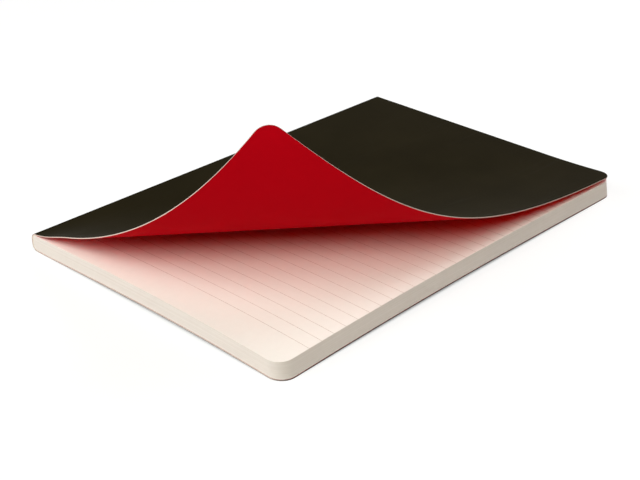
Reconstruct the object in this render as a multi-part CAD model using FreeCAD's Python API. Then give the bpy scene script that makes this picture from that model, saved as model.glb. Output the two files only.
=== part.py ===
import FreeCAD, Part
import os
from math import cos, hypot, radians

# Soft-cover lined notebook with a glued back, trimmed flush on three sides.
# X runs from the spine (-X) to the fore-edge (+X), Y from the tail (-Y) to the head (+Y), Z up.
# The origin is the middle of the closed book's footprint, on the surface it lies on. Millimetres.

# Trim size
WIDTH = 140.0            # spine to fore-edge
HEIGHT = 210.0           # tail to head
CORNER_RADIUS = 6.5      # the two fore corners, through card and pages

# Cover card
CARD = 0.5               # thickness
SPINE_RADIUS = 3.0       # outside of the card where it turns round the spine
HINGE_GAP = 0.15         # each cover starts this far from the end of the spine card
HINGE_RISE = 0.3         # its hinge line stands this far outside the card, as the fold's middle does

# Page block
LEAVES = 72
LEAF = 0.089             # thickness of one leaf
BACK_RADIUS = 2.0        # rounding of the block's two back edges
GLUE = 0.6               # film of glue on the back of the block
FORE_INSET = 0.3         # the lowest leaf stands this far inside the back cover
FORE_SLANT = 1.0         # and the top leaf this much further in
FRONT_INSET = 1.0        # the front cover's fore-edge stands this far inside the back cover's
BACK_CLEARANCE = 0.15    # lowest leaf to back cover
FRONT_CLEARANCE = 0.3    # top leaf to front cover, at the hinge

# Warp: pages and back cover arch up between the diagonal and the free corner, which is the one
# where tail and fore-edge meet. They lie flat on the other side of the diagonal.
ARCH = 1.58              # height
ARCH_RISE = 1.28         # power with which the arch leaves the flat part

# Roll: the free corner of the front cover is rolled up and back along straight lines, which start
# out near the card's diagonal and swing a little from it and back.
ROLL_BEHIND = 22.2       # the roll starts this far on the spine side of the diagonal
CURL_START = 0.246       # curvature of the card at the first line, degrees per mm
CURL_TIP = 1.65          # and at the last, by the free corner
CURL_RISE = 1.78         # power with which the curvature grows
SKEW_START = -4.3        # turn of the first line from the diagonal, degrees
SKEW_MIDDLE = 8.5        # turn of the middle line
SKEW_TIP = -2.6          # turn of the last line, at the free corner
SCORE_STRIP = 20.0       # strip beside the hinge in which the card takes up the lift
ROLL_LINES = 150         # number of straight lines

# Worked out from these
BLOCK = LEAVES * LEAF
BLOCK_BOTTOM = CARD + BACK_CLEARANCE
BLOCK_TOP = BLOCK_BOTTOM + BLOCK
COVER_BOTTOM = BLOCK_TOP + FRONT_CLEARANCE
BOOK_TOP = COVER_BOTTOM + CARD
SPINE_X = -WIDTH / 2
FORE_X = WIDTH / 2
FRONT_X = FORE_X - FRONT_INSET
TAIL_Y = -HEIGHT / 2
HEAD_Y = HEIGHT / 2
HINGE_X = SPINE_X + SPINE_RADIUS
COVER_X = HINGE_X + HINGE_GAP
CARD_GRID = SCORE_STRIP / 5   # greatest spacing of the points that fix the rolled faces
BLOCK_BACK_X = SPINE_X + CARD + GLUE
UP = FreeCAD.Vector(0, 0, 1)
ACROSS = hypot(WIDTH, HEIGHT)
# Level directions: along the diagonal from the spine's tail end to the fore-edge's head end, and
# square to it towards the free corner.
DIAGONAL = FreeCAD.Vector(WIDTH, HEIGHT, 0) / ACROSS
TO_CORNER = DIAGONAL.cross(UP)


def rounded_leaf(left, right, z):
    """A flat leaf, square at the spine and rounded at the two fore corners."""
    radius = CORNER_RADIUS
    bend = radius * (1 - cos(radians(45)))
    stops = [
        FreeCAD.Vector(left, TAIL_Y, z),
        FreeCAD.Vector(right - radius, TAIL_Y, z),
        FreeCAD.Vector(right - bend, TAIL_Y + bend, z),
        FreeCAD.Vector(right, TAIL_Y + radius, z),
        FreeCAD.Vector(right, HEAD_Y - radius, z),
        FreeCAD.Vector(right - bend, HEAD_Y - bend, z),
        FreeCAD.Vector(right - radius, HEAD_Y, z),
        FreeCAD.Vector(left, HEAD_Y, z),
    ]
    edges = [
        Part.makeLine(stops[0], stops[1]),
        Part.Arc(stops[1], stops[2], stops[3]).toShape(),
        Part.makeLine(stops[3], stops[4]),
        Part.Arc(stops[4], stops[5], stops[6]).toShape(),
        Part.makeLine(stops[6], stops[7]),
        Part.makeLine(stops[7], stops[0]),
    ]
    return Part.Face(Part.Wire(edges))


def beyond_diagonal(x, y):
    """Distance of a point from the diagonal, positive towards the free corner."""
    return FreeCAD.Vector(x, y, 0).dot(TO_CORNER)


def arch_height(share):
    """The arch at a share of its span: level at 0, highest past the middle, back down at 1."""
    crest = ARCH_RISE / (ARCH_RISE + 1)
    return ARCH * (share / crest) ** ARCH_RISE * (1 - share) / (1 - crest)


def arched_line(z):
    """Section of a warped leaf, square to the diagonal: flat, arched, then straight on."""
    start = beyond_diagonal(COVER_X + SPINE_RADIUS, TAIL_Y)
    end = beyond_diagonal(FORE_X - CORNER_RADIUS, TAIL_Y + CORNER_RADIUS) + CORNER_RADIUS
    points = []
    for step in range(9):
        share = step / 8
        points.append(TO_CORNER * (start + share * (end - start)) + UP * (z + arch_height(share)))
    arch = Part.BSplineCurve()
    fall = (points[-1] - points[-2]).normalize()
    arch.interpolate(Points=points, InitialTangent=TO_CORNER, FinalTangent=fall)
    flat = Part.makeLine(TO_CORNER * -ACROSS + UP * z, points[0])
    past = Part.makeLine(points[-1], points[-1] + fall * CORNER_RADIUS)
    return [flat, arch.toShape(), past]


def arched_sheet(z, thickness):
    """An oversize sheet with the warp, to be trimmed to the outline of a leaf."""
    under = arched_line(z)
    over = arched_line(z + thickness)
    sides = [
        Part.makeLine(under[0].firstVertex().Point, over[0].firstVertex().Point),
        Part.makeLine(under[2].lastVertex().Point, over[2].lastVertex().Point),
    ]
    section = Part.Face(Part.Wire(Part.__sortEdges__(under + over + sides)))
    section.translate(DIAGONAL * -ACROSS)
    return section.extrude(DIAGONAL * 2 * ACROSS)


def spine_side_of(x):
    """All the space that lies further to the spine side than x."""
    return Part.makeBox(WIDTH, 2 * HEIGHT, 4 * BOOK_TOP, FreeCAD.Vector(x - WIDTH, -HEIGHT, -2 * BOOK_TOP))


def round_back(solid, x, radius):
    """Round the long edges of a solid that lie along the spine at x."""
    found = []
    for edge in solid.Edges:
        lies_at_x = all(abs(vertex.X - x) < 0.001 for vertex in edge.Vertexes)
        if lies_at_x and edge.Length > HEIGHT / 2:
            found.append(edge)
    return solid.makeFillet(radius, found)


def page_block():
    """The glued stack of leaves, with its slanting fore-edge and rounded back."""
    lean = FreeCAD.Vector(-FORE_SLANT, 0, BLOCK)
    foot = rounded_leaf(BLOCK_BACK_X - 2 * FORE_SLANT, FORE_X - FORE_INSET, BLOCK_BOTTOM)
    foot.translate(lean * -1)
    leaves = foot.extrude(lean * 3).common(arched_sheet(BLOCK_BOTTOM, BLOCK))
    return round_back(leaves.cut(spine_side_of(BLOCK_BACK_X)), BLOCK_BACK_X, BACK_RADIUS)


def closed_book(side, bottom, top, radius):
    """Everything between two levels from a given face of the spine on, with its back rounded."""
    book = Part.makeBox(WIDTH, HEIGHT, top - bottom, FreeCAD.Vector(side, TAIL_Y, bottom))
    return round_back(book, side, radius)


def round_the_back(outer, inner):
    """What lies between two closed books, as far as the hinges."""
    return outer.cut(inner).common(spine_side_of(HINGE_X))


def cover_spine():
    """The card where it goes round the back of the block, from hinge to hinge."""
    outside = closed_book(SPINE_X, 0, BOOK_TOP, SPINE_RADIUS)
    inside = closed_book(SPINE_X + CARD, CARD, COVER_BOTTOM, SPINE_RADIUS - CARD)
    return round_the_back(outside, inside)


def spine_glue():
    """The glue, which fills the space between the backs of the leaves and the card."""
    card = closed_book(SPINE_X + CARD, CARD, COVER_BOTTOM, SPINE_RADIUS - CARD)
    leaves = closed_book(BLOCK_BACK_X, BLOCK_BOTTOM, BLOCK_TOP, BACK_RADIUS)
    return round_the_back(card, leaves)


def back_cover():
    """The card under the block, cut to the same outline and with the same warp."""
    blank = rounded_leaf(COVER_X, FORE_X, -CARD)
    return blank.extrude(UP * (3 * CARD + ARCH)).common(arched_sheet(0, CARD))


def line_skew(share):
    """Turn of a roll line from the diagonal, by its share of the way from the first to the last."""
    straight = SKEW_START + share * (SKEW_TIP - SKEW_START)
    bow = SKEW_MIDDLE - (SKEW_START + SKEW_TIP) / 2
    return straight + 4 * bow * share * (1 - share)


def roll_lines():
    """The lines of the roll, in order: a point, the side that turns, and how the card beyond lies."""
    first = -ROLL_BEHIND
    last = beyond_diagonal(FORE_X, TAIL_Y)
    step = (last - first) / ROLL_LINES
    lies = FreeCAD.Placement()
    lines = []
    for index in range(ROLL_LINES):
        share = (index + 0.5) / ROLL_LINES
        point = TO_CORNER * (first + share * (last - first)) + UP * (COVER_BOTTOM + CARD / 2)
        line = FreeCAD.Rotation(UP, -line_skew(share)).multVec(DIAGONAL)
        curl = CURL_START + (CURL_TIP - CURL_START) * share ** CURL_RISE
        turn = FreeCAD.Rotation(line * -1, curl * step)
        lies = lies.multiply(FreeCAD.Placement(FreeCAD.Vector(), turn, point))
        lines.append((point, line.cross(UP), lies))
    return lines


def card_lies(x, y, lines):
    """How the card lies at a point of its flat outline."""
    spot = FreeCAD.Vector(x, y, 0)
    lies = FreeCAD.Placement()
    for point, outward, beyond in lines:
        if (spot - point).dot(outward) < 0:
            break
        lies = beyond
    return lies


def card_point(x, y, z, lines):
    """A point of the flat card, moved to where the rolled card has it."""
    flat = FreeCAD.Vector(x, y, z)
    share = min((x - COVER_X) / SCORE_STRIP, 1)
    ease = share * (2 - share)
    return flat + (card_lies(x, y, lines).multVec(flat) - flat) * ease


def spaced(start, end):
    """Even stations from start to end, no further apart than the card's grid."""
    count = int((end - start) / CARD_GRID) + 1
    return [start + (end - start) * index / count for index in range(count + 1)]


def rolled_face(z, lines):
    """The surface of one side of the rolled card."""
    rows = []
    for x in spaced(COVER_X, FRONT_X):
        rows.append([card_point(x, y, z, lines) for y in spaced(TAIL_Y, HEAD_Y)])
    surface = Part.BSplineSurface()
    surface.interpolate(rows)
    return surface


def rim_curves(surface):
    """The four borders of a surface."""
    u_first, u_last, v_first, v_last = surface.bounds()
    return [surface.uIso(u_first), surface.uIso(u_last), surface.vIso(v_first), surface.vIso(v_last)]


def corner_offcut(y_side, lines):
    """What the corner rounding takes off the card, in its place on the rolled card."""
    radius = CORNER_RADIUS
    centre = FreeCAD.Vector(FRONT_X - radius, y_side * (HEAD_Y - radius), COVER_BOTTOM - radius)
    block = Part.makeBox(2 * radius, 2 * radius, 2 * radius, centre)
    if y_side < 0:
        block.translate(FreeCAD.Vector(0, -2 * radius, 0))
    block = block.cut(Part.makeCylinder(radius, 2 * radius, centre))
    return block.transformGeometry(card_lies(centre.x, centre.y, lines).toMatrix())


def front_cover():
    """The card over the block, rolled up and back at its free corner."""
    lines = roll_lines()
    inside = rolled_face(COVER_BOTTOM, lines)
    outside = rolled_face(BOOK_TOP, lines)
    faces = [inside.toShape(), outside.toShape()]
    for low, high in zip(rim_curves(inside), rim_curves(outside)):
        faces.append(Part.makeRuledSurface(low.toShape(), high.toShape()))
    shell = Part.makeShell(faces)
    shell.sewShape()
    card = Part.makeSolid(shell)
    return card.cut(corner_offcut(-1, lines)).cut(corner_offcut(1, lines))


PIECES = {
    "page_block": page_block,
    "spine_glue": spine_glue,
    "cover_spine": cover_spine,
    "back_cover": back_cover,
    "front_cover": front_cover,
}

os.makedirs("parts", exist_ok=True)
for name, make in PIECES.items():
    shape = make()
    state = "valid" if shape.isValid() else "INVALID"
    print(name, state, len(shape.Solids), "solid,", round(shape.Volume), "mm3")
    shape.exportStep("parts/%s.step" % name)
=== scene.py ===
import bpy
from math import cos, pi, radians, sin
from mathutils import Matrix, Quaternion, Vector


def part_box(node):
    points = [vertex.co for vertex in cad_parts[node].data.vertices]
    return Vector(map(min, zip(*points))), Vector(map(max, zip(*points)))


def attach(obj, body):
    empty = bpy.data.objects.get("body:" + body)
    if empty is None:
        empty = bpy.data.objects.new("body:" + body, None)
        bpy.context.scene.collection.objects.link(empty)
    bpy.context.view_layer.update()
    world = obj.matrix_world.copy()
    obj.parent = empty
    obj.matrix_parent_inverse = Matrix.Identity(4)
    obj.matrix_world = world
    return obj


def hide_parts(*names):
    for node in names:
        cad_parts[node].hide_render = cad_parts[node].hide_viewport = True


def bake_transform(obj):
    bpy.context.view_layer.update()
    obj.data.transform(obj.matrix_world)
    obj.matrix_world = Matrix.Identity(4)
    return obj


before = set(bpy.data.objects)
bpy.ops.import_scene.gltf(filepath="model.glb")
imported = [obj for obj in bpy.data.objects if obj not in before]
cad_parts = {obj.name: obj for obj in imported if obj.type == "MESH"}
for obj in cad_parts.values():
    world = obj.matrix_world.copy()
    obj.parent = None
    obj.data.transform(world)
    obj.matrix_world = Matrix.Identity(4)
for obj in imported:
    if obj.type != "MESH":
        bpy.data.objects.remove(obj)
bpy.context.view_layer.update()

# ---- The page block ----
# 72 leaves of ivory writing paper, gathered square at the spine and trimmed together with one cut
# on each of the other sides, with the two fore corners punched round. The block has been handled:
# its fore-edge leans, and its free corner has taken a slight arch.
page_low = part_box("page_block")[0]
back_low, back_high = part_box("back_cover")
TAIL_Y = back_low.y
HEAD_Y = back_high.y
FORE_X = back_high.x
CORNER_RADIUS = 0.0065
PAGE_GRID = 0.0032           # spacing of the points across a leaf
CORNER_STEPS = 9             # rows of points round a fore corner
LEAVES = 72
LEAF = 0.0000907             # thickness of one leaf
BLOCK_BOTTOM = 0.00053       # the lowest leaf lies all but on the back cover
BACK_X = page_low.x
BACK_RADIUS = 0.002          # the backs of the leaves are nipped round at top and bottom
FORE_INSET = 0.00002         # the lowest leaf stands this far inside the cover
FORE_SLANT = 0.00128         # and the top leaf this much further in
LEAF_FORE_X = FORE_X - FORE_INSET
GROOVE = 0.000025            # depth of the gap between two cut leaves
EDGE_BOTTOM = 0.15           # a leaf's cut edge runs from this share of its thickness
EDGE_TOP = 0.85              # to this one, and the rest belongs to the gap
UNEVENNESS = 0.00002         # how far a leaf stands out or in after the cut
ARCH = 0.00158               # height of the arch
ARCH_RISE = 1.28             # power with which it leaves the flat part
ARCH_FOOT = 0.003            # at the tail it starts this far from the back cover's folded edge
MERGE_DISTANCE = 0.000001    # points nearer than this are one
CRISP_ANGLE = radians(30)    # edges sharper than this aren't shaded smooth
PAPER_COLOUR = (0.93, 0.895, 0.84, 1)
PAPER_SHADE = (0.905, 0.865, 0.81, 1)
CUT_PAPER_COLOUR = (0.815, 0.755, 0.722, 1)
CUT_PAPER_SHADE = (0.727, 0.66, 0.612, 1)

DIAGONAL = Vector((FORE_X * 2, HEAD_Y - TAIL_Y, 0)).normalized()
TO_CORNER = DIAGONAL.cross(Vector((0, 0, 1)))    # level, square to the diagonal, to the free corner

SOCKET_KINDS = {
    int: "NodeSocketInt",
    float: "NodeSocketFloat",
    Vector: "NodeSocketVector",
    bpy.types.Material: "NodeSocketMaterial",
    bpy.types.Mesh: "NodeSocketGeometry",
}


def new_tree(kind, name, takes, gives):
    """An empty node tree with named inputs and outputs. Returns it, its inputs and its output node."""
    tree = bpy.data.node_groups.new(name, kind)
    for side, sockets in (("INPUT", takes), ("OUTPUT", gives)):
        for socket, form in sockets.items():
            tree.interface.new_socket(socket, in_out=side, socket_type=SOCKET_KINDS[form])
    return tree, tree.nodes.new("NodeGroupInput").outputs, tree.nodes.new("NodeGroupOutput")


def new_shape_tree(name, takes):
    """A geometry tree that takes a shape and named sizes, and gives a shape."""
    takes = {"Geometry": bpy.types.Mesh, **takes}
    return new_tree("GeometryNodeTree", name, takes, {"Geometry": bpy.types.Mesh})


def hand_out(tree, gives, **outputs):
    """Feeds a tree's outputs."""
    for name, value in outputs.items():
        tree.links.new(value, gives.inputs[name])


def hand_on(given, names):
    """The inputs of a tree that it hands on to a tree inside it."""
    return {name: given[name] for name in names}


def place(tree, kind, inputs, **settings):
    """Adds a node. Each input, by name or number, gets a value or the socket that feeds it."""
    node = tree.nodes.new(kind)
    for name, value in settings.items():
        setattr(node, name, value)
    for key, value in inputs.items():
        found = [s for s in node.inputs if s.enabled and s.name == key]
        socket = found[0] if found else node.inputs[key]
        if isinstance(value, bpy.types.NodeSocket):
            tree.links.new(value, socket)
        else:
            socket.default_value = value
    return node


def result(node, name=None):
    """The output of a node that is in use, or the one with that name."""
    return next(s for s in node.outputs if s.enabled and name in (None, s.name))


def maths(tree, operation, *values):
    """What comes of an operation on numbers."""
    return result(place(tree, "ShaderNodeMath", dict(enumerate(values)), operation=operation))


def plus(tree, first, second):
    return maths(tree, "ADD", first, second)


def minus(tree, first, second):
    return maths(tree, "SUBTRACT", first, second)


def times(tree, first, second):
    return maths(tree, "MULTIPLY", first, second)


def over(tree, first, second):
    return maths(tree, "DIVIDE", first, second)


def larger(tree, first, second):
    return maths(tree, "MAXIMUM", first, second)


def weighed(tree, *pairs):
    """The sum of some values, each times its weight."""
    total, *others = [times(tree, value, weight) for value, weight in pairs]
    for other in others:
        total = plus(tree, total, other)
    return total


def vectors(tree, operation, *values):
    """What comes of an operation on vectors."""
    return result(place(tree, "ShaderNodeVectorMath", dict(enumerate(values)), operation=operation))


def vector(tree, **parts):
    """A vector with some of its parts given, and the others 0."""
    return result(place(tree, "ShaderNodeCombineXYZ", parts))


def part(tree, whole, letter):
    """The X, Y or Z of a vector."""
    return result(place(tree, "ShaderNodeSeparateXYZ", {"Vector": whole}), letter)


def group(tree, inner, inputs):
    """Places a node group in a tree."""
    kind = "ShaderNodeGroup" if tree.bl_idname == "ShaderNodeTree" else "GeometryNodeGroup"
    return place(tree, kind, inputs, node_tree=inner)


def moved(tree, shape, **inputs):
    """A shape with its points moved by an Offset, or to a Position."""
    return result(place(tree, "GeometryNodeSetPosition", {"Geometry": shape, **inputs}))


def coated(tree, shape, material, **inputs):
    """A shape with its faces, or a Selection of them, in a material."""
    inputs = {"Geometry": shape, "Material": material, **inputs}
    return result(place(tree, "GeometryNodeSetMaterial", inputs))


def marked(tree, shape, name, value, data_type, domain):
    """A shape that carries a value under a name."""
    inputs = {"Geometry": shape, "Name": name, "Value": value}
    kind = "GeometryNodeStoreNamedAttribute"
    return result(place(tree, kind, inputs, data_type=data_type, domain=domain))


def joined(tree, *shapes):
    """Shapes as one, with the points merged where they meet."""
    whole = place(tree, "GeometryNodeJoinGeometry", {})
    for shape in shapes:
        tree.links.new(shape, whole.inputs["Geometry"])
    inputs = {"Geometry": result(whole), "Distance": MERGE_DISTANCE}
    return result(place(tree, "GeometryNodeMergeByDistance", inputs))


def crisp_edges(tree, shape):
    """Shades round forms smooth and keeps corners crisp."""
    angle = result(place(tree, "GeometryNodeInputMeshEdgeAngle", {}), "Unsigned Angle")
    inputs = {"Geometry": shape, "Shade Smooth": True}
    smooth = place(tree, "GeometryNodeSetShadeSmooth", inputs, domain="FACE")
    sharp = maths(tree, "GREATER_THAN", angle, CRISP_ANGLE)
    inputs = {"Geometry": result(smooth), "Selection": sharp, "Shade Smooth": False}
    return result(place(tree, "GeometryNodeSetShadeSmooth", inputs, domain="EDGE"))


def new_material(name, roughness, specular):
    """A material with one Principled shader. Returns the material, its tree and the shader."""
    material = bpy.data.materials.new(name)
    material.use_nodes = True
    shader = material.node_tree.nodes["Principled BSDF"]
    shader.inputs["Roughness"].default_value = roughness
    shader.inputs["Specular IOR Level"].default_value = specular
    return material, material.node_tree, shader


def own_place(tree):
    """Where on the piece a material is, in the piece's own metres."""
    return result(place(tree, "ShaderNodeTexCoord", {}), "Object")


def mark(tree, name):
    """The value that the piece carries under a name."""
    return result(place(tree, "ShaderNodeAttribute", {}, attribute_name=name), "Fac")


def noise(tree, where, scale, detail, stretch=(1, 1, 1), turn=0.0):
    """Noise at a place, finer as the scale grows, and drawn out where the stretch is small."""
    inputs = {"Vector": where, "Scale": stretch, "Rotation": (0, 0, turn)}
    mapping = place(tree, "ShaderNodeMapping", inputs)
    inputs = {"Vector": result(mapping), "Scale": scale, "Detail": detail}
    return result(place(tree, "ShaderNodeTexNoise", inputs))


def strands(tree, where, scale, detail, slimness, turns):
    """Thin strands that lie in several directions, each much longer than it is wide."""
    strongest = 0.0
    for turn in turns:
        strand = noise(tree, where, scale, detail, (1, slimness, 1), turn)
        strongest = larger(tree, strongest, strand)
    return strongest


def spread(tree, value, low, high, to_low=0.0, to_high=1.0):
    """Spreads the values between low and high over another range, and cuts off the rest."""
    inputs = {"Value": value, "From Min": low, "From Max": high, "To Min": to_low, "To Max": to_high}
    return result(place(tree, "ShaderNodeMapRange", inputs))


def blend_colours(tree, share, first, second):
    """A colour between two."""
    inputs = {"Factor": share, "A": first, "B": second}
    return result(place(tree, "ShaderNodeMix", inputs, data_type="RGBA"))


def paint(tree, shader, share, first, second):
    """Gives a shader a colour between two."""
    tree.links.new(blend_colours(tree, share, first, second), shader.inputs["Base Color"])


def give_relief(tree, shader, height, depth):
    """Feeds a height between 0 and 1 to a shader as a relief of that depth."""
    bump = place(tree, "ShaderNodeBump", {"Height": height, "Distance": depth, "Strength": 1.0})
    tree.links.new(result(bump), shader.inputs["Normal"])


# Paper: short fibres that lie every way, and the clouds that show where they lie thick.
FIBRE_TURNS = (0.3, 1.5, 2.5)
FIBRE_SLIMNESS = 0.16
fibre_group, given, gives = new_tree(
    "ShaderNodeTree", "Paper fibres",
    {"Place": Vector, "Fineness": float, "Cloud Fineness": float},
    {"Fibres": float, "Clouds": float},
)
fibres = strands(fibre_group, given["Place"], given["Fineness"], 2.0, FIBRE_SLIMNESS, FIBRE_TURNS)
clouds = noise(fibre_group, given["Place"], given["Cloud Fineness"], 4.0)
hand_out(fibre_group, gives,
         Fibres=spread(fibre_group, fibres, 0.45, 0.8), Clouds=spread(fibre_group, clouds, 0.3, 0.7))

page_face, tree, shader = new_material("page_face", roughness=0.82, specular=0.12)
paper = group(tree, fibre_group, {"Place": own_place(tree), "Fineness": 3500.0, "Cloud Fineness": 420.0})
tone = weighed(tree, (result(paper, "Clouds"), 0.55), (result(paper, "Fibres"), 0.35))
paint(tree, shader, tone, PAPER_COLOUR, PAPER_SHADE)
give_relief(tree, shader, result(paper, "Fibres"), depth=0.000006)

# On the cut, each leaf is lighter or darker at random, and so is each bundle of leaves: dust, and painted
# shade from the gaps between the leaves. Both change slowly along the edge.
ALONG_EDGE = 22.0            # the tone changes as much along a metre of edge as over so many leaves
page_edge, tree, shader = new_material("page_edge", roughness=0.9, specular=0.08)
where = own_place(tree)
run = plus(tree, part(tree, where, "X"), part(tree, where, "Y"))
lay = vector(tree, X=times(tree, run, ALONG_EDGE), Y=mark(tree, "leaf_number"))
leaf_dust_and_shade = spread(tree, noise(tree, lay, scale=0.9, detail=1.0), 0.35, 0.7)
bundle_dust_and_shade = spread(tree, noise(tree, lay, scale=0.16, detail=2.0), 0.38, 0.66)
paper = group(tree, fibre_group, {"Place": where, "Fineness": 5200.0, "Cloud Fineness": 500.0})
tone = weighed(tree, (leaf_dust_and_shade, 0.45), (bundle_dust_and_shade, 0.4), (result(paper, "Clouds"), 0.15))
paint(tree, shader, tone, CUT_PAPER_COLOUR, CUT_PAPER_SHADE)
give_relief(tree, shader, result(paper, "Fibres"), depth=0.000008)


def flat_leaf(name, left, right, level, spacing, fold=()):
    """A flat sheet, square at the spine and rounded at the fore corners, with a row of points
    across it at each step from tail to head, and extra columns of points where it folds."""
    arc = [pi / 2 * step / CORNER_STEPS for step in range(CORNER_STEPS + 1)]
    rows = [(TAIL_Y + CORNER_RADIUS * (1 - cos(turn)), CORNER_RADIUS * (1 - sin(turn))) for turn in arc]
    straight = HEAD_Y - TAIL_Y - 2 * CORNER_RADIUS
    count = round(straight / spacing)
    rows += [(TAIL_Y + CORNER_RADIUS + straight * step / count, 0.0) for step in range(1, count)]
    rows += [(TAIL_Y + HEAD_Y - y, inset) for y, inset in reversed(rows[:CORNER_STEPS + 1])]
    start = fold[-1] if fold else left
    count = round((right - start) / spacing)
    columns = list(fold[:-1]) + [start + (right - start) * step / count for step in range(count + 1)]
    points = []
    for y, inset in rows:
        narrowing = (right - inset - left) / (right - left)
        points += [(left + (x - left) * narrowing, y, level) for x in columns]
    width = len(columns)
    faces = []
    for row in range(len(rows) - 1):
        for column in range(width - 1):
            first = row * width + column
            faces.append((first, first + 1, first + width + 1, first + width))
    mesh = bpy.data.meshes.new(name)
    mesh.from_pydata(points, [], faces)
    return mesh


def grow(name, mesh, tree, values):
    """Runs a tree on a mesh, with the tree's inputs given by name, and keeps the outcome as an object."""
    grown = bpy.data.objects.new(name, mesh)
    bpy.context.scene.collection.objects.link(grown)
    modifier = grown.modifiers.new(name, "NODES")
    modifier.node_group = tree
    for socket in tree.interface.items_tree:
        if socket.name in values:
            modifier[socket.identifier] = values[socket.name]
    view = bpy.context.evaluated_depsgraph_get()
    outcome = bpy.data.meshes.new_from_object(grown.evaluated_get(view), depsgraph=view)
    grown.modifiers.remove(modifier)
    grown.data = outcome
    outcome.name = name
    return grown


# The arch: sheets lie flat up to a line beside the diagonal, rise beyond it and come down again at
# the free corner.
WARP = {
    "Towards Corner": Vector, "Arch Start": float, "Arch End": float, "Arch": float,
    "Arch Rise": float,
}
warp_tree, given, gives = new_shape_tree("Arch of a warped sheet", WARP)
position = result(place(warp_tree, "GeometryNodeInputPosition", {}))
beyond = vectors(warp_tree, "DOT_PRODUCT", position, given["Towards Corner"])
share = spread(warp_tree, beyond, given["Arch Start"], given["Arch End"])
crest = over(warp_tree, given["Arch Rise"], plus(warp_tree, given["Arch Rise"], 1.0))
climb = maths(warp_tree, "POWER", over(warp_tree, share, crest), given["Arch Rise"])
drop = over(warp_tree, minus(warp_tree, 1.0, share), minus(warp_tree, 1.0, crest))
lift = times(warp_tree, times(warp_tree, climb, drop), given["Arch"])
hand_out(warp_tree, gives, Geometry=moved(warp_tree, given["Geometry"], Offset=vector(warp_tree, Z=lift)))

arch_foot = Vector((back_low.x + ARCH_FOOT, TAIL_Y, 0))
corner_centre = Vector((FORE_X - CORNER_RADIUS, TAIL_Y + CORNER_RADIUS, 0))
warp = {
    "Towards Corner": TO_CORNER,
    "Arch Start": arch_foot.dot(TO_CORNER),
    "Arch End": corner_centre.dot(TO_CORNER) + CORNER_RADIUS,
    "Arch": ARCH,
    "Arch Rise": ARCH_RISE,
}

# The stack: the outline of a leaf is drawn up into a wall with three rows of points a leaf, one in
# the gap below the leaf and two on its cut edge, and closed with a leaf above and below.
ROWS_A_LEAF = 3
STACK = {
    "Leaves": int, "Leaf Thickness": float, "Groove": float, "Unevenness": float, "Seed": int,
    "Back": float, "Width": float, "Back Radius": float, "Fore Slant": float, "Bottom": float,
    "Page Face": bpy.types.Material, "Page Edge": bpy.types.Material,
}
stack_tree, given, gives = new_shape_tree("Stack of leaves", {**STACK, **WARP})
neighbours = result(place(stack_tree, "GeometryNodeInputMeshEdgeNeighbors", {}))
rim = maths(stack_tree, "LESS_THAN", neighbours, 1.5)
outline = place(stack_tree, "GeometryNodeMeshToCurve", {"Mesh": given["Geometry"], "Selection": rim})
outline = place(stack_tree, "GeometryNodeSetCurveNormal", {"Curve": result(outline)}, mode="Z_UP")

# The leaf that a row belongs to, and the row's step in it: 0 in the gap, 1 and 2 on the cut edge.
# A tenth is added before the division is cut off, so that no whole number falls short.
rows = maths(stack_tree, "MULTIPLY_ADD", given["Leaves"], ROWS_A_LEAF, 1.0)
index = result(place(stack_tree, "GeometryNodeInputIndex", {}))
row = maths(stack_tree, "MODULO", index, rows)
leaf = maths(stack_tree, "FLOOR", over(stack_tree, plus(stack_tree, row, 0.1), ROWS_A_LEAF))
step = minus(stack_tree, row, times(stack_tree, leaf, ROWS_A_LEAF))
edge_height = EDGE_TOP - EDGE_BOTTOM
in_leaf = maths(stack_tree, "MULTIPLY_ADD", step, edge_height, EDGE_BOTTOM - edge_height)
in_leaf = larger(stack_tree, in_leaf, 0.0)
height = times(stack_tree, plus(stack_tree, leaf, in_leaf), given["Leaf Thickness"])

# A cut edge stands out or in at random, and a gap lies deeper, but not under or over the block.
on_edge = maths(stack_tree, "GREATER_THAN", step, 0.5)
inputs = {
    "Min": times(stack_tree, given["Unevenness"], -1.0), "Max": given["Unevenness"],
    "ID": leaf, "Seed": given["Seed"],
}
push = result(place(stack_tree, "FunctionNodeRandomValue", inputs, data_type="FLOAT"))
above_first = maths(stack_tree, "GREATER_THAN", row, 0.5)
below_last = maths(stack_tree, "LESS_THAN", row, minus(stack_tree, rows, 1.5))
inner_row = times(stack_tree, above_first, below_last)
in_gap = times(stack_tree, minus(stack_tree, 1.0, on_edge), inner_row)
sunk = times(stack_tree, given["Groove"], in_gap)
inward = minus(stack_tree, sunk, times(stack_tree, push, on_edge))

upright = result(place(stack_tree, "GeometryNodeMeshLine", {"Count": rows}))
spot = vector(stack_tree, X=inward, Y=times(stack_tree, height, -1.0))
profile = place(stack_tree, "GeometryNodeMeshToCurve", {"Mesh": moved(stack_tree, upright, Position=spot)})
inputs = {"Curve": result(outline), "Profile Curve": result(profile)}
wall = result(place(stack_tree, "GeometryNodeCurveToMesh", inputs))
wall = marked(stack_tree, wall, "leaf_number", leaf, "FLOAT", "POINT")
wall = coated(stack_tree, wall, given["Page Edge"])
sheet = coated(stack_tree, given["Geometry"], given["Page Face"])
lowest = result(place(stack_tree, "GeometryNodeFlipFaces", {"Mesh": sheet}))
thickness = times(stack_tree, given["Leaves"], given["Leaf Thickness"])
topmost = moved(stack_tree, sheet, Offset=vector(stack_tree, Z=thickness))
block = joined(stack_tree, wall, lowest, topmost)

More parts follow.
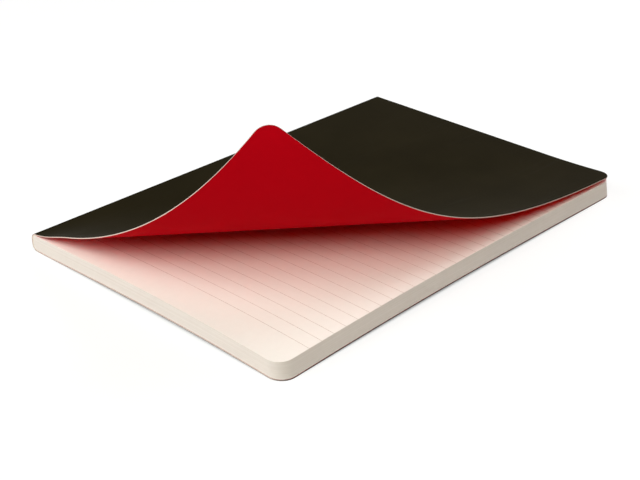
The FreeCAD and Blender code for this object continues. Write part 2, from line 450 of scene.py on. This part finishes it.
# The fore-edge leans towards the spine, and the back is rounded at its top and bottom.
position = result(place(stack_tree, "GeometryNodeInputPosition", {}))
from_back = minus(stack_tree, part(stack_tree, position, "X"), given["Back"])
across = over(stack_tree, from_back, given["Width"])
level = part(stack_tree, position, "Z")
lean = times(stack_tree, over(stack_tree, level, thickness), given["Fore Slant"])
from_face = maths(stack_tree, "MINIMUM", level, minus(stack_tree, thickness, level))
inside = larger(stack_tree, minus(stack_tree, given["Back Radius"], from_face), 0.0)
radius_squared = maths(stack_tree, "POWER", given["Back Radius"], 2.0)
inside_squared = maths(stack_tree, "POWER", inside, 2.0)
chord = maths(stack_tree, "SQRT", minus(stack_tree, radius_squared, inside_squared))
nip = minus(stack_tree, given["Back Radius"], chord)
nipped = times(stack_tree, nip, minus(stack_tree, 1.0, across))
shift = minus(stack_tree, nipped, times(stack_tree, lean, across))
block = moved(stack_tree, block, Offset=vector(stack_tree, X=shift, Z=given["Bottom"]))
block = group(stack_tree, warp_tree, {"Geometry": block, **hand_on(given, WARP)})
hand_out(stack_tree, gives, Geometry=crisp_edges(stack_tree, result(block)))

flat_page = flat_leaf("leaf", BACK_X, LEAF_FORE_X, 0.0, PAGE_GRID)
page_block = grow("page_block_leaves", flat_page, stack_tree, {
    "Leaves": LEAVES, "Leaf Thickness": LEAF, "Groove": GROOVE, "Unevenness": UNEVENNESS, "Seed": 4,
    "Back": BACK_X, "Width": LEAF_FORE_X - BACK_X, "Back Radius": BACK_RADIUS,
    "Fore Slant": FORE_SLANT, "Bottom": BLOCK_BOTTOM, "Page Face": page_face, "Page Edge": page_edge,
    **warp,
})
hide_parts("page_block")
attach(page_block, "book")

# ---- The ruling ----
# Thin grey lines offset-printed on each leaf from edge to edge, a quarter of an inch apart, with a
# margin at the head and a smaller one at the foot. Only the top leaf's lines can be seen.
FOOT_MARGIN = 0.01485
PITCH = 0.00635
RULES = 28
RULE_WIDTH = 0.00022
RULE_STEPS = 61              # points along a rule
INK_FILM = 0.00003           # half of it stands out of the paper
INK_COLOUR = (0.54, 0.465, 0.40, 1)
INK_WORN = (0.74, 0.67, 0.61, 1)

ink, tree, shader = new_material("ruling_ink", roughness=0.75, specular=0.1)
paper = group(tree, fibre_group, {"Place": own_place(tree), "Fineness": 3500.0, "Cloud Fineness": 900.0})
paint(tree, shader, times(tree, result(paper, "Clouds"), 0.8), INK_COLOUR, INK_WORN)
give_relief(tree, shader, result(paper, "Fibres"), depth=0.000006)

RULING = {
    "Rules": int, "Pitch": Vector, "First Rule": Vector, "Rule": Vector, "Ink": bpy.types.Material,
}
ruling_tree, given, gives = new_shape_tree("Ruling", {**RULING, **WARP})
inputs = {"Count": given["Rules"], "Start Location": given["First Rule"], "Offset": given["Pitch"]}
middles = place(ruling_tree, "GeometryNodeMeshLine", inputs)
rule = place(ruling_tree, "GeometryNodeMeshCube", {"Size": given["Rule"], "Vertices X": RULE_STEPS})
inputs = {"Points": result(middles), "Instance": result(rule)}
rules = place(ruling_tree, "GeometryNodeInstanceOnPoints", inputs)
rules = place(ruling_tree, "GeometryNodeRealizeInstances", {"Geometry": result(rules)})
rules = group(ruling_tree, warp_tree, {"Geometry": result(rules), **hand_on(given, WARP)})
hand_out(ruling_tree, gives, Geometry=coated(ruling_tree, result(rules), given["Ink"]))

page_top = BLOCK_BOTTOM + LEAVES * LEAF
rule_left = BACK_X + BACK_RADIUS
rule_right = LEAF_FORE_X - FORE_SLANT
page_ruling = grow("page_ruling", bpy.data.meshes.new("ruling"), ruling_tree, {
    "Rules": RULES, "Pitch": Vector((0, PITCH, 0)),
    "First Rule": Vector(((rule_left + rule_right) / 2, TAIL_Y + FOOT_MARGIN, page_top)),
    "Rule": Vector((rule_right - rule_left, RULE_WIDTH, INK_FILM)), "Ink": ink, **warp,
})
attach(page_ruling, "book")

# ---- The spine glue ----
# A film of cream hot-melt glue that holds the backs of the leaves together and the card to them.
# It was rolled on hot and trimmed with the block, and shows only at the head and the tail.
GLUE_COLOUR = (0.80, 0.75, 0.66, 1)
GLUE_SHADE = (0.70, 0.64, 0.54, 1)
glue, tree, shader = new_material("binding_glue", roughness=0.45, specular=0.3)
lumps = noise(tree, own_place(tree), scale=900.0, detail=3.0)
paint(tree, shader, spread(tree, lumps, 0.3, 0.7), GLUE_COLOUR, GLUE_SHADE)
give_relief(tree, shader, lumps, depth=0.00004)
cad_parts["spine_glue"].material_slots[0].material = glue

# ---- The cover card ----
# One piece of 0.5 mm card goes round the back of the block from the back cover to the front. It is
# printed solid black outside and solid red inside, matt varnished, and cut through its pale core.
CARD = 0.0005
OUTER_PLY = 0.00009
INNER_PLY = 0.00005
CORE_PLY = CARD - OUTER_PLY - INNER_PLY
CARD_GRID = 0.0015           # spacing of the points across a cover
HINGE_GAP = 0.00015          # a cover's solid starts this far from its fold
HINGE_X = back_low.x - HINGE_GAP
FOLD_WIDTH = 0.0017          # strip of card that turns where a cover folds
FOLD_STEPS = 10
BLACK = (0.0104, 0.0078, 0.0024, 1)
BLACK_SHADE = (0.0140, 0.0106, 0.0037, 1)
RED = (0.475, 0.0008, 0.0068, 1)
RED_SHADE = (0.457, 0.0008, 0.0062, 1)
RED_PAINTED_BOUNCE = (0.71, 0.0040, 0.0, 1)      # brighter for bounced light than the red shows: painted red bounce light on what lies near
CORE = (0.70, 0.585, 0.53, 1)
CORE_SHADE = (0.58, 0.46, 0.41, 1)
PAINTED_SHADE_COLOUR = (0.045, 0.030, 0.024, 1)  # painted shade, nearly black, on cut edges that face the fore side
BACK_PAINTED_SHADE = 0.95            # how much of the painted shade covers the core at a fore-edge
FRONT_PAINTED_SHADE = 0.2

# Printed card: a faint tooth from the board, slow changes of tone and the hairlines of handling.
HAIRLINE_TURNS = tuple(turn + 0.5 for turn in FIBRE_TURNS)
HAIRLINE_SLIMNESS = 0.03
TOOTH_ROUGHNESS = 0.05       # the tooth makes the varnish this much rougher and smoother
HAIRLINE_GLOSS = 0.05        # and a hairline this much smoother
print_group, given, gives = new_tree(
    "ShaderNodeTree", "Printed card",
    {"Place": Vector, "Tooth": float, "Tone": float, "Hairlines": float},
    {"Tooth": float, "Tone": float, "Hairlines": float},
)
where = given["Place"]
hairlines = strands(print_group, where, given["Hairlines"], 1.0, HAIRLINE_SLIMNESS, HAIRLINE_TURNS)
tooth = noise(print_group, where, given["Tooth"], 3.0)
tone = noise(print_group, where, given["Tone"], 3.0)
hand_out(print_group, gives, Tooth=tooth, Tone=spread(print_group, tone, 0.3, 0.7),
         Hairlines=spread(print_group, hairlines, 0.66, 0.74))


def printed_card(name, colour, shade, bounce_colour, roughness, specular):
    """A matt varnished print on the card, and the colour that light bounced off it picks up: painted
    bounce light where it is brighter than the print.
    """
    material, tree, shader = new_material(name, roughness, specular)
    inputs = {"Place": own_place(tree), "Tooth": 4200.0, "Tone": 38.0, "Hairlines": 260.0}
    card = group(tree, print_group, inputs)
    printed = blend_colours(tree, result(card, "Tone"), colour, shade)
    # Light bounced off other surfaces meets the bounce colour instead of the print: where that is
    # brighter, it paints bounce light on what lies near.
    path = place(tree, "ShaderNodeLightPath", {})
    paint(tree, shader, result(path, "Is Diffuse Ray"), printed, bounce_colour)
    smoothest = roughness - TOOTH_ROUGHNESS
    uneven = spread(tree, result(card, "Tooth"), 0.3, 0.7, smoothest, roughness + TOOTH_ROUGHNESS)
    gloss = times(tree, result(card, "Hairlines"), -HAIRLINE_GLOSS)
    tree.links.new(plus(tree, uneven, gloss), shader.inputs["Roughness"])
    give_relief(tree, shader, result(card, "Tooth"), depth=0.000010)
    return material


card_black = printed_card("card_black", BLACK, BLACK_SHADE, BLACK, roughness=0.5, specular=0.006)
card_red = printed_card("card_red", RED, RED_SHADE, RED_PAINTED_BOUNCE, roughness=0.7, specular=0.012)
card_core, tree, shader = new_material("card_core", roughness=0.85, specular=0.1)
paper = group(tree, fibre_group, {"Place": own_place(tree), "Fineness": 6000.0, "Cloud Fineness": 1500.0})
tone = weighed(tree, (result(paper, "Clouds"), 0.6), (result(paper, "Fibres"), 0.4))
pale = blend_colours(tree, tone, CORE, CORE_SHADE)
# Where the cut faces the fore side, painted shade darkens the pale core.
paint(tree, shader, mark(tree, "painted_shade"), pale, PAINTED_SHADE_COLOUR)
give_relief(tree, shader, result(paper, "Fibres"), depth=0.00001)

# A sheet of card is a leaf drawn up in three plies, with its own print on each side. Seen on the cut, the
# outer ply is black right through, the inner one red, and the core between them pale, but for painted
# shade, nearly black, where the cut faces the fore side.
CARD_FACES = {
    "Lower Ply": float, "Core Ply": float, "Upper Ply": float,
    "Under Side": bpy.types.Material, "Upper Side": bpy.types.Material,
    "Lower Edge": bpy.types.Material, "Core Edge": bpy.types.Material,
    "Upper Edge": bpy.types.Material, "Painted Shade": float,
}
card_tree, given, gives = new_shape_tree("Sheet of card", CARD_FACES)
under = coated(card_tree, given["Geometry"], given["Under Side"])
under = result(place(card_tree, "GeometryNodeFlipFaces", {"Mesh": under}))
sheet = coated(card_tree, given["Geometry"], given["Upper Side"])
top = True
for ply in ("Lower", "Core", "Upper"):
    drawn = place(card_tree, "GeometryNodeExtrudeMesh", {
        "Mesh": sheet, "Selection": top, "Offset": vector(card_tree, Z=given[ply + " Ply"]),
        "Offset Scale": 1.0, "Individual": False,
    })
    cut = result(drawn, "Side")
    sheet = coated(card_tree, result(drawn, "Mesh"), given[ply + " Edge"], Selection=cut)
    top = result(drawn, "Top")
whole = joined(card_tree, sheet, under)
# Cut faces that look towards the fore side carry a share of painted shade.
facing = result(place(card_tree, "GeometryNodeInputNormal", {}), "Normal")
fore_facing = larger(card_tree, part(card_tree, facing, "X"), 0.0)
painted_shade = times(card_tree, fore_facing, given["Painted Shade"])
hand_out(card_tree, gives, Geometry=marked(card_tree, whole, "painted_shade", painted_shade, "FLOAT", "FACE"))

fold = [HINGE_X + FOLD_WIDTH * step / FOLD_STEPS for step in range(FOLD_STEPS + 1)]

# ---- The back cover ----
# The card under the block. It is cut to the same outline and has taken the same arch, so that it
# touches the table on the spine side of the diagonal and again at its free corner.
back_tree, given, gives = new_shape_tree("Back cover", {**CARD_FACES, **WARP})
sheet = group(back_tree, card_tree, hand_on(given, ["Geometry", *CARD_FACES]))
sheet = group(back_tree, warp_tree, {"Geometry": result(sheet), **hand_on(given, WARP)})
hand_out(back_tree, gives, Geometry=crisp_edges(back_tree, result(sheet)))

flat_back = flat_leaf("back", HINGE_X, FORE_X, 0.0, CARD_GRID, fold)
back_cover = grow("back_cover_card", flat_back, back_tree, {
    "Lower Ply": OUTER_PLY, "Core Ply": CORE_PLY, "Upper Ply": INNER_PLY,
    "Under Side": card_black, "Upper Side": card_red,
    "Lower Edge": card_black, "Core Edge": card_core, "Upper Edge": card_red,
    "Painted Shade": BACK_PAINTED_SHADE, **warp,
})
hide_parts("back_cover")
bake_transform(back_cover)

# ---- The spine ----
# The same card where it goes round the back of the block, from one fold to the other. It is stuck on
# while the glue is hot, and turns a quarter of a circle at the top and at the bottom.
spine_low, spine_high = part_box("cover_spine")
BOOK_TOP = spine_high.z
SPINE_RADIUS = HINGE_X - spine_low.x
TURN_STEPS = 12


def spine_section(radius):
    """Section of the card's face of that radius, from the front fold round to the back one."""
    line = []
    for start, middle in ((pi / 2, BOOK_TOP - SPINE_RADIUS), (pi, SPINE_RADIUS)):
        for step in range(TURN_STEPS + 1):
            turn = start + pi / 2 * step / TURN_STEPS
            line.append((HINGE_X + radius * cos(turn), middle + radius * sin(turn)))
    return line


# Lines along the card from fold to fold: its outside, both faces of its core and its inside. Each
# has its points at the tail first and then at the head.
lines = [spine_section(SPINE_RADIUS - depth) for depth in (0, OUTER_PLY, CARD - INNER_PLY, CARD)]
count = len(lines[0])
points = [(x, y, z) for y in (TAIL_Y, HEAD_Y) for line in lines for x, z in line]
faces = []
sides = []
OUTSIDE, INSIDE, PALE_RIM = range(3)
RIMS = ((0, OUTSIDE), (1, PALE_RIM), (2, INSIDE))


def spot_on(end, depth, n):
    """Number of a point, from its end of the spine, its line and its place along the line."""
    return (end * len(lines) + depth) * count + n


def add_face(corners, side, is_round, turned_over):
    """Keeps a face of the spine, with the side of the card that it is on."""
    face = [spot_on(*corner) for corner in corners]
    faces.append(face[::-1] if turned_over else face)
    sides.append((side, is_round))


for n in range(count - 1):
    for depth, side in ((0, OUTSIDE), (3, INSIDE)):
        corners = ((0, depth, n), (0, depth, n + 1), (1, depth, n + 1), (1, depth, n))
        add_face(corners, side, True, side == INSIDE)
    for end in (0, 1):
        for depth, side in RIMS:
            corners = ((end, depth, n), (end, depth + 1, n), (end, depth + 1, n + 1), (end, depth, n + 1))
            add_face(corners, side, False, end == 1)
for n in (0, count - 1):
    for depth, side in RIMS:
        corners = ((0, depth, n), (1, depth, n), (1, depth + 1, n), (0, depth + 1, n))
        add_face(corners, side, False, n > 0)
spine_mesh = bpy.data.meshes.new("cover_spine_card")
spine_mesh.from_pydata(points, [], faces)
for material in (card_black, card_red, card_core):
    spine_mesh.materials.append(material)
for face, (side, is_round) in zip(spine_mesh.polygons, sides):
    face.material_index = side
    face.use_smooth = is_round
cover_spine = bpy.data.objects.new("cover_spine_card", spine_mesh)
bpy.context.scene.collection.objects.link(cover_spine)
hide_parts("cover_spine")
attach(cover_spine, "book")

# ---- The front cover ----
# The same card over the block. Its free corner has been rolled up and back about straight lines,
# which start near the diagonal and swing a little from it and back.
COVER_BOTTOM = BOOK_TOP - CARD
COVER_X = back_low.x
FRONT_INSET = 0.001          # its fore-edge stands this far inside the back cover's
SCORE_STRIP = 0.020          # strip beside the fold in which the card takes up the lift
ROLL_BEHIND = 0.0222         # the roll starts this far on the spine side of the diagonal
CURL_START = radians(246)    # curvature of the card at the first line, per metre
CURL_TIP = radians(1650)     # and at the last, by the free corner
CURL_RISE = 1.78             # power with which the curvature grows
SKEW_START = radians(-4.3)   # turn of the first line from the diagonal
SKEW_MIDDLE = radians(8.5)
SKEW_TIP = radians(-2.6)
SKEW_BOW = 4 * SKEW_MIDDLE - 2 * (SKEW_START + SKEW_TIP)
ROLL_LINES = 150
UP = (0, 0, 1)

ROLL = {
    "Roll Lines": int, "Roll Start": float, "Roll End": float, "Curl Start": float, "Curl Tip": float,
    "Curl Rise": float, "Skew Start": float, "Skew Tip": float, "Skew Bow": float,
    "Middle Of Card": float, "Towards Corner": Vector, "Diagonal": Vector, "Strip Start": float,
    "Score Strip": float,
}
front_tree, given, gives = new_shape_tree("Front cover", {**CARD_FACES, **ROLL})
position = result(place(front_tree, "GeometryNodeInputPosition", {}))
sheet = group(front_tree, card_tree, hand_on(given, ["Geometry", *CARD_FACES]))
sheet = marked(front_tree, result(sheet), "flat_place", position, "FLOAT_VECTOR", "POINT")
flat_place = place(front_tree, "GeometryNodeInputNamedAttribute", {"Name": "flat_place"},
                   data_type="FLOAT_VECTOR")
flat_place = result(flat_place, "Attribute")

# Each line turns all that lies beyond it, and the lines are taken from the corner inwards.
loop_start = front_tree.nodes.new("GeometryNodeRepeatInput")
loop_end = front_tree.nodes.new("GeometryNodeRepeatOutput")
loop_start.pair_with_output(loop_end)
front_tree.links.new(given["Roll Lines"], loop_start.inputs["Iterations"])
front_tree.links.new(sheet, loop_start.inputs["Geometry"])

# The line's place and direction.
left_over = minus(front_tree, given["Roll Lines"], loop_start.outputs["Iteration"])
share = over(front_tree, minus(front_tree, left_over, 0.5), given["Roll Lines"])
reach = spread(front_tree, share, 0.0, 1.0, given["Roll Start"], given["Roll End"])
swing = times(front_tree, share, minus(front_tree, 1.0, share))
bow = times(front_tree, swing, given["Skew Bow"])
skew = plus(front_tree, spread(front_tree, share, 0.0, 1.0, given["Skew Start"], given["Skew Tip"]), bow)
inputs = {0: given["Towards Corner"], "Scale": reach}
outward = result(place(front_tree, "ShaderNodeVectorMath", inputs, operation="SCALE"))
centre = vectors(front_tree, "ADD", outward, vector(front_tree, Z=given["Middle Of Card"]))
inputs = {"Vector": given["Diagonal"], "Axis": UP, "Angle": times(front_tree, skew, -1.0)}
line = result(place(front_tree, "ShaderNodeVectorRotate", inputs))

# How far the card turns about it, and what lies beyond it.
growth = maths(front_tree, "POWER", share, given["Curl Rise"])
curl = spread(front_tree, growth, 0.0, 1.0, given["Curl Start"], given["Curl Tip"])
apart = over(front_tree, minus(front_tree, given["Roll Start"], given["Roll End"]), given["Roll Lines"])
from_centre = vectors(front_tree, "SUBTRACT", flat_place, centre)
passed = vectors(front_tree, "DOT_PRODUCT", from_centre, vectors(front_tree, "CROSS_PRODUCT", line, UP))
beyond = maths(front_tree, "GREATER_THAN", passed, 0.0)
inputs = {"Vector": position, "Center": centre, "Axis": line, "Angle": times(front_tree, curl, apart)}
turned = result(place(front_tree, "ShaderNodeVectorRotate", inputs))
rolled = moved(front_tree, loop_start.outputs["Geometry"], Position=turned, Selection=beyond)
front_tree.links.new(rolled, loop_end.inputs["Geometry"])

# Beside the fold the card passes from its flat place to its rolled one.
strip_end = plus(front_tree, given["Strip Start"], given["Score Strip"])
share = spread(front_tree, part(front_tree, flat_place, "X"), given["Strip Start"], strip_end)
ease = times(front_tree, share, minus(front_tree, 2.0, share))
inputs = {"Factor": ease, "A": flat_place, "B": position}
eased = result(place(front_tree, "ShaderNodeMix", inputs, data_type="VECTOR"))
sheet = moved(front_tree, loop_end.outputs["Geometry"], Position=eased)
sheet = place(front_tree, "GeometryNodeRemoveAttribute", {"Geometry": sheet, "Name": "flat_place"})
hand_out(front_tree, gives, Geometry=crisp_edges(front_tree, result(sheet)))

free_corner = Vector((FORE_X, TAIL_Y, 0))
flat_front = flat_leaf("front", HINGE_X, FORE_X - FRONT_INSET, COVER_BOTTOM, CARD_GRID, fold)
front_cover = grow("front_cover_card", flat_front, front_tree, {
    "Lower Ply": INNER_PLY, "Core Ply": CORE_PLY, "Upper Ply": OUTER_PLY,
    "Under Side": card_red, "Upper Side": card_black,
    "Lower Edge": card_red, "Core Edge": card_core, "Upper Edge": card_black,
    "Painted Shade": FRONT_PAINTED_SHADE,
    "Roll Lines": ROLL_LINES, "Roll Start": -ROLL_BEHIND, "Roll End": free_corner.dot(TO_CORNER),
    "Curl Start": CURL_START, "Curl Tip": CURL_TIP, "Curl Rise": CURL_RISE,
    "Skew Start": SKEW_START, "Skew Tip": SKEW_TIP, "Skew Bow": SKEW_BOW,
    "Middle Of Card": COVER_BOTTOM + CARD / 2, "Towards Corner": TO_CORNER, "Diagonal": DIAGONAL,
    "Strip Start": COVER_X, "Score Strip": SCORE_STRIP,
})
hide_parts("front_cover")
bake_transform(front_cover)

# ---- The table, the light and the camera ----
# A plain white table top under soft studio light. A large lamp stands high at the free corner and a
# smaller one below it, one stands low by the spine's tail and one by the head. The ceiling sends
# light back and the walls send none, so little light runs level into the roll.
TABLE_SIZE = 4.0
TABLE = (0.82, 0.785, 0.735, 1)
OPEN_WHITE = 1.03            # the white that the camera sees on the table, in full light
SHADOW_SHARE = 0.35          # how much of it fades in shadow
CONTACT = 0.012              # within this distance of the book the glow fades, a painted contact shade, and the table shades as a plain one does
CONTACT_OPENNESS = (0.05, 0.3)           # share of open sky over which it does
CONTACT_SAMPLES = 8
LAMP_DISTANCE = 1.3
LAMPS = {                    # turn from +X and height in degrees, width in metres, watts and tint
    "high_lamp": (-60, 63, 1.4, 8.2, (0.98, 1, 0.90)),
    "low_lamp": (-56, 44, 0.6, 4.4, (0.98, 1, 0.90)),
    "tail_lamp": (-124, 28, 1.1, 9.6, (0.97, 0.99, 1)),
    "head_lamp": (90, 35, 0.9, 8.6, (1, 0.95, 1)),
}
CEILING = 0.15               # strength of the light from the ceiling
CEILING_EDGE = (0.75, 0.92)  # sines of the heights over which it fades in
WHITE = (1, 1, 1, 1)
AZIMUTH = radians(42.4095)
ELEVATION = radians(27.7177)
ROLL_OF_CAMERA = radians(0.923)
DISTANCE = 0.5354
LENS = 73.395                # millimetres, as is the sensor
SENSOR_WIDTH = 36
NEAREST = 0.01               # the camera sees nothing nearer than this
AIM = Vector((0.00746, -0.01856, 0.00022))
DIFFUSE_BOUNCES = 16         # the light in the roll's foot is thrown to and fro
ALL_BOUNCES = 20


def seen_white(tree):
    """1 for what the camera sees straight, in a gloss or through glass, and 0 for other light."""
    path = place(tree, "ShaderNodeLightPath", {})
    seen = larger(tree, result(path, "Is Camera Ray"), result(path, "Is Glossy Ray"))
    return larger(tree, seen, result(path, "Is Transmission Ray"))


def towards(turn, height):
    """Level turn from +X and height over the table as a direction."""
    return Vector((cos(turn) * cos(height), sin(turn) * cos(height), sin(height)))


half = TABLE_SIZE / 2
table_corners = [(-half, -half, 0), (half, -half, 0), (half, half, 0), (-half, half, 0)]
floor_mesh = bpy.data.meshes.new("table_top")
floor_mesh.from_pydata(table_corners, [], [(0, 1, 2, 3)])
table_top = bpy.data.objects.new("table_top", floor_mesh)
bpy.context.scene.collection.objects.link(table_top)
floor = bpy.data.materials.new("white_table")
floor.use_nodes = True
tree = floor.node_tree
tree.nodes.clear()
plain = place(tree, "ShaderNodeBsdfDiffuse", {"Color": TABLE})
faint = place(tree, "ShaderNodeBsdfDiffuse", {"Color": (SHADOW_SHARE,) * 3 + (1,)})
inputs = {"Color": WHITE, "Strength": OPEN_WHITE - SHADOW_SHARE}
glow = place(tree, "ShaderNodeEmission", inputs)
white = place(tree, "ShaderNodeAddShader", {0: result(faint), 1: result(glow)})
# The glow fades where ambient occlusion finds the book close: a painted contact shade, under which the
# plain table shows its own shade.
inputs = {"Distance": CONTACT}
openness = place(tree, "ShaderNodeAmbientOcclusion", inputs, samples=CONTACT_SAMPLES)
away = spread(tree, result(openness, "AO"), *CONTACT_OPENNESS)
clear = times(tree, seen_white(tree), away)
surface = place(tree, "ShaderNodeMixShader", {0: clear, 1: result(plain), 2: result(white)})
place(tree, "ShaderNodeOutputMaterial", {"Surface": result(surface)})
floor_mesh.materials.append(floor)

world = bpy.data.worlds.new("studio")
bpy.context.scene.world = world
world.use_nodes = True
tree = world.node_tree
looking = result(place(tree, "ShaderNodeTexCoord", {}), "Generated")
ceiling = spread(tree, part(tree, looking, "Z"), *CEILING_EDGE, 0.0, CEILING)
strength = spread(tree, seen_white(tree), 0.0, 1.0, ceiling, 1.0)
studio = tree.nodes["Background"]
studio.inputs["Color"].default_value = WHITE
tree.links.new(strength, studio.inputs["Strength"])

for name, (turn, height, width, watts, tint) in LAMPS.items():
    light = bpy.data.lights.new(name, "AREA")
    light.shape = "DISK"
    light.size = width
    light.energy = watts
    light.color = tint
    lamp = bpy.data.objects.new(name, light)
    bpy.context.scene.collection.objects.link(lamp)
    toward_lamp = towards(radians(turn), radians(height))
    lamp.location = toward_lamp * LAMP_DISTANCE
    lamp.rotation_mode = "QUATERNION"
    lamp.rotation_quaternion = toward_lamp.to_track_quat("Z", "Y")

toward_camera = towards(AZIMUTH - pi / 2, ELEVATION)
camera = bpy.data.objects.new("camera", bpy.data.cameras.new("camera"))
bpy.context.scene.collection.objects.link(camera)
camera.data.lens = LENS
camera.data.sensor_width = SENSOR_WIDTH
camera.data.clip_start = NEAREST
camera.location = AIM + toward_camera * DISTANCE
upright_view = toward_camera.to_track_quat("Z", "Y")
camera.rotation_mode = "QUATERNION"
camera.rotation_quaternion = upright_view @ Quaternion((0, 0, 1), ROLL_OF_CAMERA)
bpy.context.scene.camera = camera
bpy.context.scene.view_settings.view_transform = "Standard"
bpy.context.scene.cycles.diffuse_bounces = DIFFUSE_BOUNCES
bpy.context.scene.cycles.max_bounces = ALL_BOUNCES
